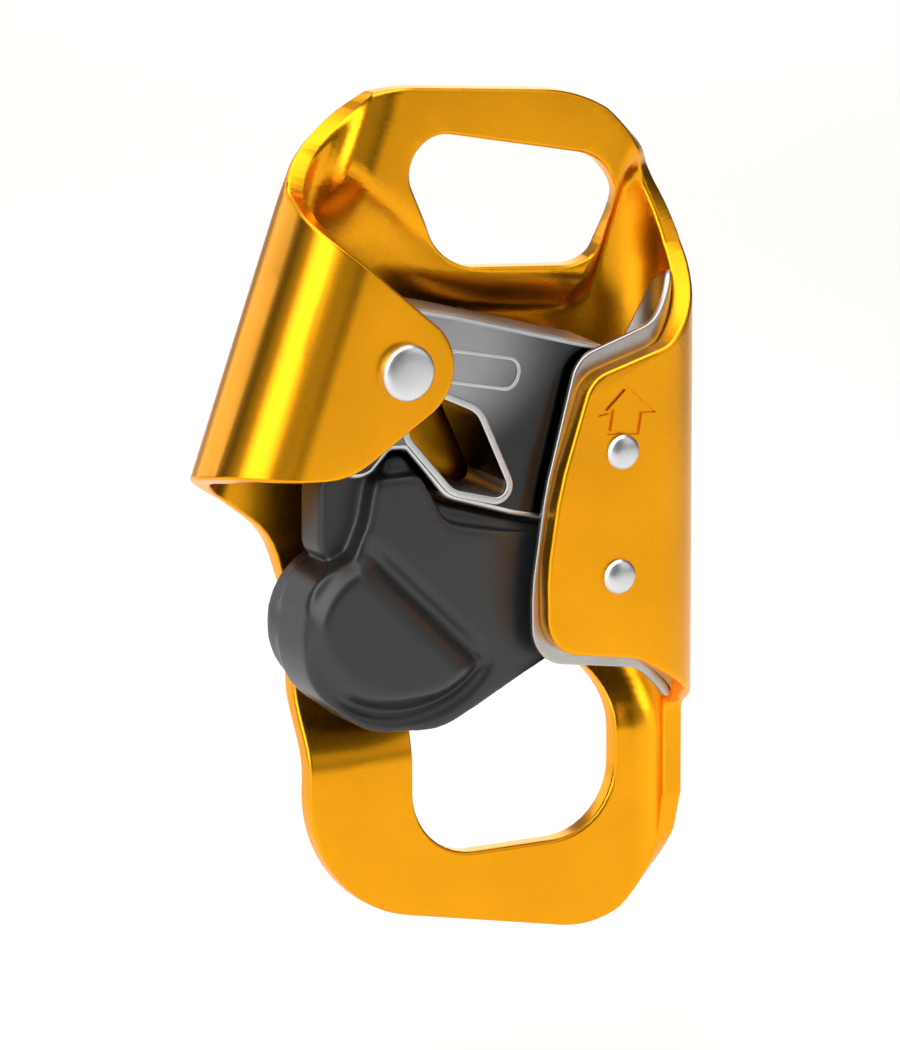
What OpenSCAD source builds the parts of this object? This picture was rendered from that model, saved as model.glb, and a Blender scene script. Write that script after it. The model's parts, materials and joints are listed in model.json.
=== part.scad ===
// Chest rope clamp: a folded aluminium frame, a sprung toothed steel cam and
// a moulded catch.  X is across, Y runs from the front (-) to the back (0),
// Z runs up along the rope.  Every length is in millimetres.
// The shapes are laid out from the cam axle, and place() then moves the
// origin to the centre of the lower attachment hole.

/* [Frame] */
// Thickness of the frame's sheet
sheet_t = 3; // [2.8:0.1:3.2]
// Depth of the folded frame from back face to flange face
frame_depth = 22; // [21.8:0.1:22.4]
// Distance from the axle to the outside of the rope channel's wall
wall_x = 51; // [50.8:0.1:51.5]
// Outside radius of the left fold
fold_r = 9; // [8:0.5:9.5]
// Lean of the left fold from upright, in degrees
fold_lean = 20; // [18:1:22]
// Step of the upper hole's plateau in front of the back plate
plateau_step = 6; // [5:0.5:6]
// Step of the lower lug in front of the back plate
lug_step = 5; // [4:0.5:5]
// Radius of the flange's nose round the axle
nose_r = 8; // [7.5:0.1:8.5]

/* [Attachment holes] */
// Centre of the lower hole, across and up from the axle
lug_hole = [25.5, -62];
// Width and height of the lower hole
lug_hole_size = [33, 27];
// Corner radius of the lower hole
lug_hole_r = 10; // [8:1:12]

/* [Rope channel] */
// Thickness of the stainless wear plate
wear_t = 1; // [0.8:0.1:1.2]
// Shank radius of the wear plate's rivets
small_rivet_r = 1.6; // [1.4:0.1:1.8]
// Head radius of the wear plate's rivets
small_head_r = 2.55; // [2.3:0.05:2.8]

/* [Cam] */
// Thickness of the cam
cam_t = 11.6; // [11:0.1:11.8]
// Radius of the cam's hub
hub_r = 8.5; // [8:0.1:8.6]
// Radius of the toothed face
tooth_face_r = 25.6; // [25.2:0.1:25.8]
// Height of one tooth
tooth_h = 1; // [0.6:0.1:1.2]
// Number of tooth rows round the face
tooth_rows = 13; // [8:1:16]

/* [Axle] */
// Radius of the axle's shank
axle_r = 3; // [2.8:0.1:3.2]
// Radius of the axle's heads
axle_head_r = 4.1; // [4:0.1:4.4]
// Outside radius of the sleeve on the axle
sleeve_r = 4.4; // [4.3:0.05:4.45]

/* [Catch] */
// Place of the catch's pin, across and up from the axle
catch_pin_at = [-4.5, -11.5];
// Radius of the catch's pin
catch_pin_r = 1.5; // [1.4:0.1:1.6]
// Depth of the catch's thumb pad
pad_depth = 14.5; // [13:0.5:14.5]

/* [Hidden] */
$fn = 64;

GOLD = "#f2a51c";
STEEL = "#c9cbce";
DARK_STEEL = "#55575a";
BLACK = "#2b2c2e";

run_gap = 0.05;                        // radial play of a running fit
side_gap = 0.15;                       // play beside a moving part
channel_x = wall_x - frame_depth/2;    // axis of the rope channel's round wall
inner_front = -(frame_depth - sheet_t);
plate_front = -sheet_t;
cam_back = -5.2;
cam_front = cam_back - cam_t;
mid_y = -frame_depth/2;
lug_front = -lug_step - sheet_t;
lug_top = -60;                         // where the lug reaches its full step
joggle_top = -51;                      // where the lug's step begins
small_rivets = [[35, -15.6], [34.5, -33.7]];
rivet_dome = 1.2;
fold_foot = -10.7;                     // where the left fold's axis crosses the axle's height
lug_wall_r = 6.8;                      // outside radius of the turn beside the lug
knuckle_r = 4;
axle_head_t = 1.9;
spring_pocket_r = 6.8;
spring_pocket = 5.6;                   // depth of the pocket in the cam's back
cheek_t = 2.5;                         // cam cheeks beside the catch's knuckle
slot_back = cam_back - cheek_t;
slot_front = cam_front + cheek_t;

// --- outlines, across and up ---------------------------------------------
function arc(c, r, from, to, n = 20) =
    [for (i = [0:n]) c + r*[cos(from + (to - from)*i/n), sin(from + (to - from)*i/n)]];

// Points of an outline with its corners rounded: each corner is [x, z, radius]
function unit(v) = v/norm(v);
function corner_arc(a, b, c, r, n = 8) =
    let (u = unit(a - b), v = unit(c - b), half = acos(u*v)/2, away = r/tan(half),
         centre = b + unit(u + v)*r/sin(half), p = b + u*away, q = b + v*away,
         from = atan2(p.y - centre.y, p.x - centre.x),
         turn = atan2(q.y - centre.y, q.x - centre.x) - from,
         sweep = turn > 180 ? turn - 360 : turn < -180 ? turn + 360 : turn)
    r < 0.05 ? [b] : arc(centre, r, from, from + sweep, n);
function xz(p) = [p[0], p[1]];
function rounded(p) = [for (i = [0:len(p) - 1])
    each corner_arc(xz(p[(i + len(p) - 1) % len(p)]), xz(p[i]), xz(p[(i + 1) % len(p)]), p[i][2])];
// The same for an open line, whose two ends only steer its first and last corner
function chain(p) = [for (i = [1:len(p) - 2]) each corner_arc(xz(p[i - 1]), xz(p[i]), xz(p[i + 1]), p[i][2])];

// A slab of an outline between two depths
module slab(front, back) translate([0, back, 0]) rotate([90, 0, 0]) linear_extrude(back - front)
    children();
// A round bar along the depth
module bar(at, r, front, back) translate([at[0], back, at[1]]) rotate([90, 0, 0])
    cylinder(r = r, h = back - front);
module place() translate([-lug_hole.x, 0, -lug_hole.y]) children();

// Lines that bound the plateau: [normal, distance of its foot from the axle]
plateau_lines = [[[0.673, 0.740], 9.8], [[0.134, 0.991], 5.8], [[-0.924, 0.382], -38.1]];
function crossing(p, q, d) =
    let (a = p[0], b = q[0], m = p[1] + d, n = q[1] + d, det = a.x*b.y - a.y*b.x)
    [(m*b.y - n*a.y)/det, (a.x*n - b.x*m)/det];
function line_end(p, z, d) = [(p[1] + d - p[0].y*z)/p[0].x, z];
function plateau(d) = [line_end(plateau_lines[0], 60, d), crossing(plateau_lines[0], plateau_lines[1], d),
                       crossing(plateau_lines[1], plateau_lines[2], d), line_end(plateau_lines[2], 60, d)];

top_left = [10, 17];
top_left_r = 20.3;
top_right = [wall_x - 24, 11];
top_right_r = 24;
head_tilt = 82.3;                      // direction square to the head's top edge
lug_left = [12.2, -64];
lug_left_r = 20;
lug_right_r = 14.8;
lug_right = [wall_x - lug_right_r, -74];

body_outline = concat(
    arc(top_right, top_right_r, 0, head_tilt), arc(top_left, top_left_r, head_tilt, 176),
    chain([[-10, 17], [-40, 12, 0], [-40, -14.6, 0], [-25.5, -14.6, 0], [-11.5, -26, 12], [-7.6, -38, 12],
        [-7.6, -60]]),
    arc(lug_left, lug_left_r, 176, 259), arc(lug_right, lug_right_r, 259, 360));
flange_outline = concat(arc([0, 0], nose_r, -54, 44), chain([[5.6, 5.7], [-1.5, 12, 6], [-12.2, 24, 1],
    [-40, 24, 0], [-40, -14.6, 0], [-8.5, -14.6, 12], [4.7, -6.5]]));
channel_outline = rounded([[60, 9, 0], [43, -1, 6], [30, -4.5, 5], [24.9, -20, 30], [23, -32, 20],
    [23.2, -43.8, 6], [38, -46.3, 8], [46.5, -51.5, 8], [60, -60, 0]]);
upper_hole = concat(arc([33.5, 17.2], 8.2, -100, 77), arc([13.4, 24.6], 5.4, 77, 197),
    arc([17, 17.6], 6.8, 207, 262));
wear_outline = rounded([[60, 9, 0], [46.5, 8.6, 3], [42, 1.9, 8], [29.4, -2, 5], [24.3, -21, 30],
    [22.2, -35, 20], [22.3, -45.6, 6], [39.5, -48.4, 6], [45, -54, 3], [60, -54, 0]]);

module lug_hole_shape() polygon(rounded([for (s = [[1, 1], [-1, 1], [-1, -1], [1, -1]])
    [lug_hole.x + s.x*lug_hole_size.x/2, lug_hole.y + s.y*lug_hole_size.y/2, lug_hole_r]]));

// --- frame ----------------------------------------------------------------
// Wall of a fold seen from above, open towards +X, with flat stretches of the given lengths
module fold_section(r, back_flat, front_flat) {
    straight = frame_depth - 2*r;
    difference() {
        union() {
            translate([0, -r]) circle(r);
            translate([0, -frame_depth + r]) circle(r);
            if (straight > 0) translate([-r, -frame_depth + r]) square([r, straight]);
            translate([0, -r]) square([back_flat, r]);
            translate([0, -frame_depth]) square([front_flat, r]);
        }
        translate([0, -r]) circle(r - sheet_t);
        translate([0, -frame_depth + r]) circle(r - sheet_t);
        translate([-r + sheet_t, -frame_depth + r]) square([r, straight + 0.001]);
        translate([0, -frame_depth + sheet_t]) square([100, frame_depth - 2*sheet_t]);
    }
}

module left_fold() translate([fold_foot, 0, 0]) rotate([0, fold_lean, 0])
    translate([0, 0, -40]) linear_extrude(90) fold_section(fold_r, 6, 45);

module channel_wall() translate([channel_x, 0, -100]) mirror([1, 0, 0]) linear_extrude(150)
    fold_section(frame_depth/2, 2, 25);

module back_zone() translate([-60, mid_y, -120]) cube([140, -mid_y + 10, 180]);
module front_zone() translate([-60, -frame_depth - 10, -120]) cube([140, frame_depth + 10 + mid_y, 180]);

// Bulge that lifts the plateau: shift moves it back to cut the hollow behind
module bulge(shift) translate([0, shift, 0]) hull() {
    slab(plate_front, plate_front + 0.02) polygon(plateau(0));
    slab(plate_front - plateau_step, plate_front - plateau_step + 0.02) polygon(plateau(6));
}

// Cosine step of the sheet along Z, swept across the frame
function ease(f) = (1 - cos(180*f))/2;
function step_line(back) = [for (i = [0:12])
    [back - lug_step*ease(i/12), joggle_top + (lug_top - joggle_top)*i/12]];
module lug_step_sheet() translate([-20, 0, 0]) rotate([90, 0, 90]) linear_extrude(20 + wall_x - 6)
    polygon(concat(step_line(0), [for (i = [12:-1:0]) step_line(-sheet_t)[i]]));

// Wall beside the lug: a smaller quarter turn, cut back at half depth
module lug_wall() translate([wall_x - lug_wall_r, -lug_step - lug_wall_r, -100]) linear_extrude(44)
    intersection() {
        difference() {
            circle(lug_wall_r);
            circle(lug_wall_r - sheet_t);
        }
        square(20);
    }

module back_sheet() difference() {
    union() {
        intersection() {
            slab(plate_front, 0) polygon(body_outline);
            translate([fold_foot, -30, 0]) rotate([0, fold_lean, 0]) translate([0, 0, -100]) cube([140, 60, 200]);
            translate([-60, -30, joggle_top]) cube([60 + channel_x, 40, 200]);
        }
        intersection() {
            bulge(0);
            slab(-30, 0) polygon(body_outline);
        }
        intersection() {
            left_fold();
            back_zone();
            slab(-30, 0) polygon(body_outline);
        }
        intersection() {
            channel_wall();
            back_zone();
            slab(-30, 0) polygon(body_outline);
            translate([0, -40, -57]) cube([100, 60, 120]);
        }
    }
    bulge(sheet_t);
}

module lug() intersection() {
    slab(-30, 0) polygon(body_outline);
    union() {
        lug_step_sheet();
        translate([-60, lug_front, -120]) cube([60 + wall_x - lug_wall_r, sheet_t, 120 + lug_top]);
        lug_wall();
    }
}

module frame() place() color(GOLD) difference() {
    union() {
        back_sheet();
        lug();
        intersection() {
            left_fold();
            front_zone();
            slab(-30, 0) polygon(flange_outline);
        }
        intersection() {
            channel_wall();
            front_zone();
            slab(-30, 0) polygon(channel_outline);
        }
    }
    slab(-15, 2) polygon(upper_hole);
    slab(-15, 2) lug_hole_shape();
    bar([0, 0], axle_r, -30, 5);
    bar([0, 0], axle_head_r + 0.1, -1.6, 5);
    for (p = small_rivets) bar(p, small_rivet_r, -30, mid_y);
}

// --- rope channel -----------------------------------------------------------
module wear_section() {
    outer = frame_depth/2 - sheet_t;
    difference() {
        union() {
            circle(outer - 0.01);
            translate([-20, -outer + 0.01]) square([20, 2*outer - 0.02]);
        }
        circle(outer - wear_t);
        translate([-21, -outer + wear_t]) square([21, 2*outer - 2*wear_t]);
    }
}

module wear_plate() place() color(STEEL) difference() {
    intersection() {
        translate([channel_x, mid_y, -60]) linear_extrude(80) wear_section();
        union() {
            slab(-30, mid_y) polygon(wear_outline);
            translate([27, mid_y - 0.01, -48]) cube([30, 20, 47]);
        }
    }
    for (p = small_rivets) bar(p, small_rivet_r, -30, mid_y);
}

// Cap of a ball with the given base radius and height, pointing to the front
module dome(at, r, h, front) {
    ball = (r*r + h*h)/(2*h);
    intersection() {
        translate([at[0], front + ball - h, at[1]]) sphere(ball, $fn = 48);
        bar(at, r + 1, front - h - 1, front);
    }
}

module wear_plate_rivets() place() color(STEEL) for (p = small_rivets) {
    bar(p, small_rivet_r, -frame_depth, inner_front + wear_t);
    dome(p, small_head_r, rivet_dome, -frame_depth);
}

// --- axle -------------------------------------------------------------------
module cam_axle() place() color(STEEL) {
    bar([0, 0], axle_r, -frame_depth, -1.6);
    bar([0, 0], axle_head_r, -1.6, -0.1);
    bar([0, 0], axle_head_r, -frame_depth - axle_head_t + 0.5, -frame_depth);
    dome([0, 0], axle_head_r, 0.5, -frame_depth - axle_head_t + 0.5);
}

module ring(at, r_out, r_in, front, back) difference() {
    bar(at, r_out, front, back);
    bar(at, r_in, front - 1, back + 1);
}

module axle_sleeve() place() color(STEEL) ring([0, 0], sleeve_r, axle_r, inner_front, plate_front);
module front_washer() place() color(STEEL)
    ring([0, 0], 7, sleeve_r + 0.02, inner_front + 0.05, cam_front - side_gap);

// --- springs ----------------------------------------------------------------
// Closed tube swept along points, eight sides
module swept(points, r) {
    n = len(points);
    function dir(i) = unit(points[min(i + 1, n - 1)] - points[max(i - 1, 0)]);
    function side(i) = unit(cross(dir(i), abs(dir(i).y) < 0.8 ? [0, 1, 0] : [1, 0, 0]));
    rings = [for (i = [0:n - 1]) for (k = [0:7])
        points[i] + r*(cos(45*k)*side(i) + sin(45*k)*cross(dir(i), side(i)))];
    sides = [for (i = [0:n - 2]) for (k = [0:7]) let (a = 8*i + k, b = 8*i + (k + 1) % 8)
        each [[a, b, b + 8], [a, b + 8, a + 8]]];
    polyhedron(rings, concat(sides, [[for (k = [7:-1:0]) k]], [[for (k = [0:7]) 8*(n - 1) + k]]));
}

// Coil about the depth axis at a point, between two depths
function coil(at, r, front, back, turns, from, n = 16) = [for (i = [0:turns*n])
    [at[0] + r*cos(from + 360*i/n), back + (front - back)*i/(turns*n), at[1] + r*sin(from + 360*i/n)]];

module cam_spring() place() color(STEEL)
    swept(coil([0, 0], 5.75, cam_back - spring_pocket + 0.8, plate_front - 0.8, 4, 90), 0.6);
module catch_spring() place() color(STEEL)
    swept(coil(catch_pin_at, 2.35, slot_back - 2.9, slot_back - 0.7, 2.5, 0, 12), 0.35);

// --- cam --------------------------------------------------------------------
face_centre = [20, -22];
cam_outline = concat(arc([0, 0], hub_r, 75, 195), arc(catch_pin_at, 4.6, 190, 300),
    chain([[-2.2, -15.5], [0.6, -12.6, 1], [3, -12.8, 1], [9.3, -20.6, 5], [20, -24.2, 8], [44, -30.6]]),
    arc(face_centre, tooth_face_r, -19, 56), [[11, 5.9]]);
cam_window = rounded([[8, -5.6, 2], [14.2, -8.6, 4], [20.2, -22, 1.5], [10.5, -19.2, 4], [2.6, -9.8, 2]]);

module tooth_ridges() for (i = [0:tooth_rows - 1]) {
    a = -17 + 54*i/(tooth_rows - 1);
    slab(cam_front + 0.8 + 0.9*(i % 2), cam_back - 0.8 - 0.9*(i % 2)) polygon([
        face_centre + (tooth_face_r - 0.3)*[cos(a - 2.2), sin(a - 2.2)],
        face_centre + (tooth_face_r + tooth_h)*[cos(a - 1.2), sin(a - 1.2)],
        face_centre + (tooth_face_r - 0.3)*[cos(a + 1.6), sin(a + 1.6)]]);
}

// The nose is rounded off to run inside the channel's round wall
module nose_room() translate([0, mid_y, -60]) linear_extrude(120) union() {
    translate([channel_x, 0]) circle(frame_depth/2 - sheet_t - wear_t - 0.5);
    translate([-60, -20]) square([60 + channel_x, 40]);
}

module cam() place() color(DARK_STEEL) difference() {
    intersection() {
        union() {
            slab(cam_front, cam_back) polygon(cam_outline);
            tooth_ridges();
        }
        nose_room();
    }
    slab(-30, 5) polygon(cam_window);
    bar([0, 0], sleeve_r + 0.9, -30, 5);
    bar([0, 0], spring_pocket_r, cam_back - spring_pocket, 5);
    bar(catch_pin_at, catch_pin_r, -30, 5);
    slab(slot_front, slot_back) union() {
        translate(catch_pin_at) circle(knuckle_r + 0.3);
        polygon([catch_pin_at + [knuckle_r + 0.3, 0], catch_pin_at + [-4, 1.4], [-40, -9], [-40, -60],
            catch_pin_at + [knuckle_r + 0.3, -60]]);
    }
}

module cam_bush() place() color(STEEL)
    ring([0, 0], sleeve_r + 0.9, sleeve_r + run_gap, cam_front, cam_back - spring_pocket);

// --- catch ------------------------------------------------------------------
catch_front = -17.6;
pad_front = -19.5;
catch_back = lug_front - 0.6;
face_outline = rounded([[-2.6, -16.2, 1.5], [5, -16.4, 2], [9.2, -24, 5], [20, -26.6, 8], [31, -28.2, 2],
    [31, -43.5, 3], [8.5, -53.9, 10], [-3, -53.2, 10], [-13.7, -45, 10], [-12.6, -31, 7], [-3, -27.6, 3]]);
step_outline = rounded([[0.9, -13.6, 0.5], [2.6, -13.6, 1.5], [8.6, -21.4, 5], [20, -25, 8],
    [31, -28, 2], [31, -46, 3], [20, -50, 1], [0, -40, 1], [-5, -22, 1]]);
pad_outline = rounded([[-2.4, -27.4, 3], [16.5, -46.6, 3], [8, -49.9, 8], [-3.5, -49.4, 8],
    [-13.9, -41.5, 9], [-13, -30, 6]]);
arm_outline = concat(arc(catch_pin_at, knuckle_r, 0, 170), chain([[-8.5, -11], [-9, -22, 5], [-9, -31, 2],
    [3, -31, 1], [-0.5, -17, 2], catch_pin_at + [knuckle_r, 0]]));

module catch_lever() place() color(BLACK) difference() {
    union() {
        slab(catch_front, catch_back) polygon(face_outline);
        slab(-15.5, catch_back) polygon(step_outline);
        slab(pad_front, pad_front + pad_depth) polygon(pad_outline);
        slab(slot_front + side_gap, slot_back - side_gap) polygon(arm_outline);
    }
    bar(catch_pin_at, catch_pin_r + run_gap, -30, 5);
    bar(catch_pin_at, 3.1, slot_back - 3.3, 5);
}

module catch_pin() place() color(STEEL) {
    bar(catch_pin_at, catch_pin_r, cam_front, cam_back + 0.8);
    bar(catch_pin_at, 2.5, cam_front - 0.8, cam_front);
}
module catch_pin_washer() place() color(STEEL)
    ring(catch_pin_at, 2.6, catch_pin_r, cam_back + 0.01, cam_back + 0.7);

frame();
wear_plate();
wear_plate_rivets();
cam_axle();
axle_sleeve();
front_washer();
cam_spring();
cam();
cam_bush();
catch_lever();
catch_pin();
catch_pin_washer();
catch_spring();
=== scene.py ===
"""Chest rope clamp: the visible pieces, their finishes and the studio.

Shapes are laid out in millimetres from the cam's axle, as X across, Y from
the front (-) to the back (0) and Z up the rope, and then placed in metres.
"""
import json
import math

import bmesh
import bpy
from bpy.props import FloatProperty, FloatVectorProperty, IntProperty, PointerProperty
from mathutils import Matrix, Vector


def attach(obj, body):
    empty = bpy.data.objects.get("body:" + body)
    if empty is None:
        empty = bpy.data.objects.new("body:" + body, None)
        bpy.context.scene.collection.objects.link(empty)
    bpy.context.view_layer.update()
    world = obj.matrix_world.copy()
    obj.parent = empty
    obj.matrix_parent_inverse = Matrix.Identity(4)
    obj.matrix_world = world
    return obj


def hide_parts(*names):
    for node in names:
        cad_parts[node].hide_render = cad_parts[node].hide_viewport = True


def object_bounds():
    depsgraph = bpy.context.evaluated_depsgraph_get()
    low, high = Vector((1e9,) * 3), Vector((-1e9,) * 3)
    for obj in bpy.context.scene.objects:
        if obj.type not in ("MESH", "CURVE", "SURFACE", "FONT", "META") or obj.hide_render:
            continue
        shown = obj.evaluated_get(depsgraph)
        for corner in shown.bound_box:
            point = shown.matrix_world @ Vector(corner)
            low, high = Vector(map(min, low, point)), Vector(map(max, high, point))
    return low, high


bl_info = {
    "name": "Rope clamp",
    "version": (1, 0, 0),
    "blender": (4, 5, 0),
    "location": "View3D > Sidebar > Rope clamp",
    "description": "Builds the pieces of a chest rope clamp and the studio round it",
    "category": "Object",
}

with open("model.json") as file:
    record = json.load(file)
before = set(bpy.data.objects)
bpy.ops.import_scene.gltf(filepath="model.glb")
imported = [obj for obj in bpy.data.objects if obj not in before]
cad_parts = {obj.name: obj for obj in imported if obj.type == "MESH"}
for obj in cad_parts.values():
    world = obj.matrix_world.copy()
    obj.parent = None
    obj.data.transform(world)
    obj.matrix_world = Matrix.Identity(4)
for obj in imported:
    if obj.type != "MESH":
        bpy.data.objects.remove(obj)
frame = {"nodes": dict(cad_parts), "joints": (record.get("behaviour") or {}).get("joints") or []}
CAD_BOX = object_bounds()
JOINTS = {joint["name"]: joint for joint in frame["joints"]}
AXLE = JOINTS["cam_pivot"]["pos_m"]
MM = 0.001

# Quarter round in three insets: share of the radius inwards and along
ROUND_STEPS = ((0.134, 0.5), (0.366, 0.366), (0.5, 0.134))


# --- sizes and colours that a user would change ------------------------------
def length(name, about, default):
    return FloatProperty(name=name, description=about, default=default, min=0, precision=2)


def colour(name, about, default):
    return FloatVectorProperty(name=name, description=about, default=default, subtype="COLOR_GAMMA", size=3,
                               min=0, max=1)


def srgb(code):
    """Red, green and blue of a hex code such as F2A51C."""
    return tuple(int(code[i:i + 2], 16)/255 for i in (0, 2, 4))


class FrameSizes(bpy.types.PropertyGroup):
    """Driving sizes of the folded frame, in millimetres."""
    sheet: length("Sheet", "Thickness of the aluminium sheet", 3)
    depth: length("Depth", "Depth from the back face to the flange's face", 22)
    fold_radius: length("Fold radius", "Outside radius of the left fold", 9)
    fold_lean: FloatProperty(name="Fold lean", description="Lean of the left fold from upright",
                             default=math.radians(20), unit="ROTATION")
    plateau: length("Plateau", "Step of the upper hole's plateau", 6)
    lug_step: length("Lug step", "Step of the lower lug", 5)
    edge: length("Edge", "Radius of the sheet's tumbled edges", 0.55)
    gold: colour("Gold", "Colour of the anodised sheet", srgb("F2A318"))


class LinerSizes(bpy.types.PropertyGroup):
    """Driving sizes of the channel's liner, in millimetres."""
    sheet: length("Sheet", "Thickness of the stainless liner", 1)
    edge: length("Edge", "Radius of the liner's edge", 0.3)


class CamSizes(bpy.types.PropertyGroup):
    """Driving sizes of the cam, in millimetres."""
    edge: length("Edge", "Radius of the cam's edges", 0.8)
    lip: length("Lip", "Height of the raised lips on the front face", 0.4)
    tooth_rows: IntProperty(name="Tooth rows", description="Rows of teeth round the face", default=13,
                            min=5)
    steel: colour("Steel", "Colour of the cam's steel", srgb("3A3B3D"))


class CatchSizes(bpy.types.PropertyGroup):
    """Driving sizes of the catch, in millimetres."""
    edge: length("Edge", "Radius of the catch's moulded edges", 1.1)
    grain: length("Remesh", "Size of the faces that melt the catch's parts together", 0.36)
    nylon: colour("Nylon", "Colour of the moulded catch", srgb("1E1F21"))


# --- outlines, across and up --------------------------------------------------
def arc(centre, radius, start, end, steps=20):
    """Points round an arc, with its angles in degrees."""
    angles = [math.radians(start + (end - start)*i/steps) for i in range(steps + 1)]
    return [(centre[0] + radius*math.cos(a), centre[1] + radius*math.sin(a)) for a in angles]


ARC_STEP = 9                         # degrees between the points of a rounded corner


def corner(before, at, after, radius):
    """Points of one rounded corner of an outline."""
    if radius < 0.05:
        return [at[:2]]
    a = (before[0] - at[0], before[1] - at[1])
    b = (after[0] - at[0], after[1] - at[1])
    a = [c/math.hypot(*a) for c in a]
    b = [c/math.hypot(*b) for c in b]
    half = math.acos(max(-1, min(1, a[0]*b[0] + a[1]*b[1])))/2
    middle = math.hypot(a[0] + b[0], a[1] + b[1])
    reach = radius/math.sin(half)
    centre = [at[i] + (a[i] + b[i])/middle*reach for i in (0, 1)]
    away = radius/math.tan(half)
    start = math.atan2(at[1] + a[1]*away - centre[1], at[0] + a[0]*away - centre[0])
    turn = math.atan2(at[1] + b[1]*away - centre[1], at[0] + b[0]*away - centre[0]) - start
    turn = math.degrees((turn + math.pi) % (2*math.pi) - math.pi)
    start = math.degrees(start)
    return arc(centre, radius, start, start + turn, max(1, round(abs(turn)/ARC_STEP)))


def rounded(points):
    """Closed outline with its corners rounded; each corner is (across, up, radius)."""
    count = len(points)
    return [p for i in range(count)
            for p in corner(points[i - 1], points[i], points[(i + 1) % count], points[i][2])]


def chain(points):
    """The same for an open line, whose two ends only steer its first and last corner."""
    return [p for i in range(1, len(points) - 1)
            for p in corner(points[i - 1], points[i], points[i + 1], points[i][2])]


def parallel(loop, distance):
    """A closed outline moved by a distance to the left of its direction of travel."""
    moved = []
    for i, (x, z) in enumerate(loop):
        before, after = loop[i - 1], loop[(i + 1) % len(loop)]
        a = (x - before[0], z - before[1])
        b = (after[0] - x, after[1] - z)
        a = [c/math.hypot(*a) for c in a]
        b = [c/math.hypot(*b) for c in b]
        bend = 1 + a[0]*b[0] + a[1]*b[1]
        moved.append((x - distance*(a[1] + b[1])/bend, z + distance*(a[0] + b[0])/bend))
    return moved


def ease(share):
    """Cosine step from 0 to 1."""
    return (1 - math.cos(math.pi*max(0, min(1, share))))/2


def blend_between(low, high, value):
    return ease((value - low)/(high - low))


# --- modelling helpers ----------------------------------------------------------
def only(obj):
    """Selects one object, and nothing else."""
    if bpy.context.object and bpy.context.object.mode == "EDIT":
        bpy.ops.object.mode_set(mode="OBJECT")
    bpy.ops.object.select_all(action="DESELECT")
    obj.select_set(True)
    bpy.context.view_layer.objects.active = obj


def join(first, others):
    """Joins others into the first object."""
    only(first)
    for other in others:
        other.select_set(True)
    if others:
        bpy.ops.object.join()
    return first


def select_faces(obj, test):
    """In edit mode, selects just the faces that pass a test."""
    bpy.ops.mesh.select_mode(type="FACE")
    bpy.ops.mesh.select_all(action="DESELECT")
    mesh = bmesh.from_edit_mesh(obj.data)
    for face in mesh.faces:
        face.select_set(test(face))
    bmesh.update_edit_mesh(obj.data)


def flat_slab(name, loops, back, front, edge=0):
    """Slab of an outline with holes, between two depths, with its edges rounded."""
    rings = []
    for loop in loops:
        bpy.ops.object.select_all(action="DESELECT")
        bpy.ops.mesh.primitive_circle_add(vertices=len(loop), radius=1)
        ring = bpy.context.object
        for vertex, point in zip(ring.data.vertices, loop):
            vertex.co = (point[0], back - edge, point[1])
        rings.append(ring)
    slab = join(rings[0], rings[1:])
    slab.name = name
    bpy.ops.object.mode_set(mode="EDIT")
    bpy.ops.mesh.select_all(action="SELECT")
    bpy.ops.mesh.fill()
    bpy.ops.mesh.extrude_region_move(TRANSFORM_OT_translate={"value": (0, front - back + 2*edge, 0)})
    bpy.ops.mesh.select_all(action="SELECT")
    bpy.ops.mesh.normals_make_consistent(inside=False)
    if edge:
        for side in (-1, 1):
            select_faces(slab, lambda face: face.normal.y*side > 0.9)
            for across, along in ROUND_STEPS:
                bpy.ops.mesh.inset(thickness=across*edge, depth=along*edge)
    bpy.ops.object.mode_set(mode="OBJECT")
    return slab


def cut(obj, planes, test=None):
    """Cuts the faces that pass a test along planes, each given as a point and a normal across and up."""
    only(obj)
    bpy.ops.object.mode_set(mode="EDIT")
    if test:
        select_faces(obj, lambda face: any(test(v.co.x, v.co.z) for v in face.verts))
        bpy.ops.mesh.hide(unselected=True)
    for point, normal in planes:
        bpy.ops.mesh.select_all(action="SELECT")
        bpy.ops.mesh.bisect(plane_co=(point[0], 0, point[1]), plane_no=(normal[0], 0, normal[1]))
    bpy.ops.mesh.reveal(select=False)
    bpy.ops.object.mode_set(mode="OBJECT")


def spaced(start, end, steps):
    return [start + (end - start)*i/steps for i in range(steps + 1)]


def place(obj, shape=None):
    """Bends the mesh by a formula, if there is one, and puts it in its place in metres."""
    for vertex in obj.data.vertices:
        x, y, z = shape(*vertex.co) if shape else vertex.co
        vertex.co = (AXLE[0] + x*MM, y*MM, AXLE[2] + z*MM)
    obj.data.update()


def finish_piece(obj, material, body, nodes, angle=32):
    """Smooths a piece, gives it its material and ties it to the model."""
    only(obj)
    bpy.ops.object.shade_smooth_by_angle(angle=math.radians(angle))
    bpy.ops.object.modifier_add(type="WEIGHTED_NORMAL")
    obj.modifiers[-1].keep_sharp = True
    bpy.ops.object.modifier_apply(modifier=obj.modifiers[-1].name)
    obj.data.materials.clear()
    obj.data.materials.append(material)
    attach(obj, body)
    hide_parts(*nodes)


def boolean(obj, tool, operation="DIFFERENCE"):
    """Cuts or joins with a tool object, which is then deleted."""
    only(obj)
    bpy.ops.object.modifier_add(type="BOOLEAN")
    modifier = obj.modifiers[-1]
    modifier.object = tool
    modifier.operation = operation
    modifier.solver = "EXACT"
    bpy.ops.object.modifier_apply(modifier=modifier.name)
    bpy.data.objects.remove(tool)


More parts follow.
